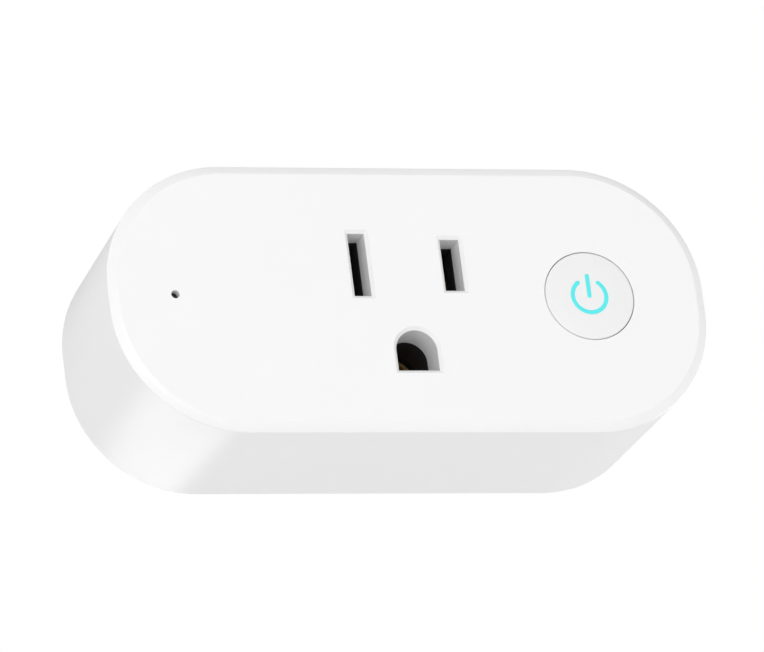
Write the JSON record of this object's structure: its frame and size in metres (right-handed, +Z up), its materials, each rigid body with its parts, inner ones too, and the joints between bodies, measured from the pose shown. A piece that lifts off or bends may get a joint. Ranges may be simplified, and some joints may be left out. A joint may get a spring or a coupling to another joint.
{
  "type": "smart plug",
  "caption": "Long round-ended wall plug that passes mains through to one grounded outlet in its face, switched by a relay and radio inside and by a round lit power button beside the outlet.",
  "frame": {"origin": "centre of the wall face: the plane that rests on the wall plate, at the middle of the housing's length and height", "axes": "+X along the length of the face, towards the button; +Y into the wall, along the blades; +Z up, with the two slots above the ground hole"},
  "size_m": [0.0812, 0.0456, 0.0368],
  "materials": {
    "white_shell": "fine satin, injection moulded",
    "cap_white": "satin",
    "cyan_guide": "clear polycarbonate lit cyan",
    "white_inner": "matte",
    "smoke_guide": "smoked clear polycarbonate",
    "led_white": "moulded lamp body",
    "blade_nickel": "nickel plated",
    "carrier_black": "matte",
    "contact_brass": "plain spring brass",
    "sheet_film": "thin polyester film",
    "board_laminate": "green solder mask over glass laminate",
    "screw_steel": "zinc plated",
    "switch_black": "matte",
    "sheet_steel": "tinned sheet",
    "tinned_steel": "tinned",
    "pin_brass": "plated",
    "radio_laminate": "dark blue solder mask",
    "trace_copper": "bare trace",
    "relay_black": "matte",
    "relay_blue": "glossy case",
    "relay_iron": "soft iron, plated",
    "bobbin_white": "glass filled nylon",
    "coil_copper": "enamelled wire",
    "contact_copper": "spring copper with silver rivet",
    "can_sleeve": "black sleeve over an aluminium can",
    "varistor_blue": "epoxy coated disc",
    "fuse_ceramic": "coated ceramic body",
    "ferrite": "sintered ferrite",
    "chip_black": "moulded epoxy"
  },
  "bodies": {
    "housing": {"front_shell": "white_shell", "rear_cover": "white_shell", "rear_cover_screws": "screw_steel", "button_light_shroud": "white_inner", "indicator_light_pipe": "smoke_guide", "indicator_led": "led_white", "button_leds": "led_white", "line_blade": "blade_nickel", "neutral_blade": "blade_nickel", "ground_pin": "blade_nickel", "contact_carrier": "carrier_black", "line_contact": "contact_brass", "neutral_contact": "contact_brass", "ground_contact": "contact_brass", "insulation_sheet": "sheet_film", "main_board": "board_laminate", "main_board_screws": "screw_steel", "control_board": "board_laminate", "control_board_screws": "screw_steel", "switch_body": "switch_black", "switch_cover": "sheet_steel", "switch_terminals": "tinned_steel", "header_block": "switch_black", "header_pins": "pin_brass", "radio_board": "radio_laminate", "radio_shield": "sheet_steel", "radio_antenna": "trace_copper", "relay_base": "relay_black", "relay_case": "relay_blue", "relay_yoke": "relay_iron", "relay_core": "relay_iron", "relay_bobbin": "bobbin_white", "relay_coil": "coil_copper", "relay_fixed_contact": "contact_copper", "smoothing_capacitors": "can_sleeve", "varistor": "varistor_blue", "fuse": "fuse_ceramic", "choke_core": "ferrite", "choke_winding": "coil_copper", "rectifier": "chip_black", "regulator": "chip_black"},
    "button": {"button_cap": "cap_white", "button_light_guide": "cyan_guide"},
    "plunger": {"switch_plunger": "switch_black"},
    "armature": {"relay_armature": "relay_iron", "relay_moving_contact": "contact_copper"}
  },
  "joints": [
    {"name": "button_press", "type": "slide", "parent": "housing", "child": "button", "axis": [0, 1, 0], "range_m": [0, 0.0004], "stiffness_N_per_m": 200, "springref_m": -0.008},
    {"name": "switch_press", "type": "slide", "parent": "housing", "child": "plunger", "axis": [0, 1, 0], "range_m": [0, 0.0004]},
    {"name": "relay_close", "type": "hinge", "parent": "housing", "child": "armature", "pos_m": [-0.0155, -0.0168, 0], "axis": [0, 0, -1], "range_deg": [0, 4.1], "stiffness_Nm_per_rad": 0.002, "springref_deg": -17.19}
  ],
  "couplings": [
    {"joint": "switch_press", "follows": "button_press", "ratio": 1}
  ]
}
